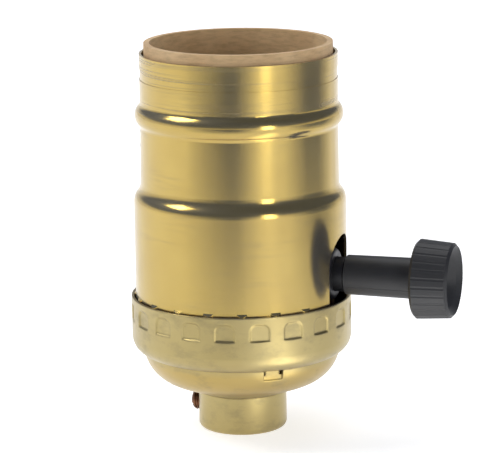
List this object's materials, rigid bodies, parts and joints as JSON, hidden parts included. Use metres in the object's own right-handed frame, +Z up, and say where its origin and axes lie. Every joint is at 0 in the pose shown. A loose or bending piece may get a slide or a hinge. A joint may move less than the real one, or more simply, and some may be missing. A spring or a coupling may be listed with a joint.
{
  "type": "lamp holder",
  "caption": "Brass turn-knob lamp holder for a medium screw base: beaded outer shell over a paper sleeve, crimped into a dimpled cap with a threaded hub, and a black knob that turns the switch.",
  "frame": {"origin": "centre of the hub's bottom face, at the mouth of its threaded bore", "axes": "+Z up along the holder's axis towards the lamp's mouth, +X along the switch spindle towards the knob"},
  "size_m": [0.0554, 0.037, 0.0658],
  "materials": {
    "polished_brass": "polished",
    "satin_brass": "satin",
    "contact_brass": "plain",
    "coppered_steel": "copper washed",
    "steel": "zinc plated",
    "fibre": "paperboard",
    "black_moulding": "gloss",
    "knob_black": "semi matt"
  },
  "bodies": {
    "holder": {"outer_shell": "polished_brass", "insulating_sleeve": "fibre", "cap": "satin_brass", "cap_hub": "satin_brass", "hub_set_screw": "coppered_steel", "cap_liner": "fibre", "screw_shell": "contact_brass", "body_upper": "black_moulding", "body_lower": "black_moulding", "body_rivets": "steel", "centre_contact": "contact_brass", "centre_contact_rivet": "contact_brass", "feed_strap": "contact_brass", "hot_terminal_plate": "contact_brass", "hot_terminal_screw": "contact_brass", "neutral_terminal_plate": "steel", "neutral_terminal_screw": "steel", "spindle_bushing": "black_moulding", "detent_spring": "steel"},
    "turn_knob": {"knob": "knob_black", "spindle": "steel", "spindle_clip": "steel", "switch_rotor": "black_moulding", "rotor_contact": "contact_brass", "rotor_contact_rivets": "contact_brass"}
  },
  "joints": [
    {"name": "knob_turn", "type": "hinge", "parent": "holder", "child": "turn_knob", "pos_m": [0, 0, 0.0273], "axis": [1, 0, 0], "continuous": true}
  ]
}
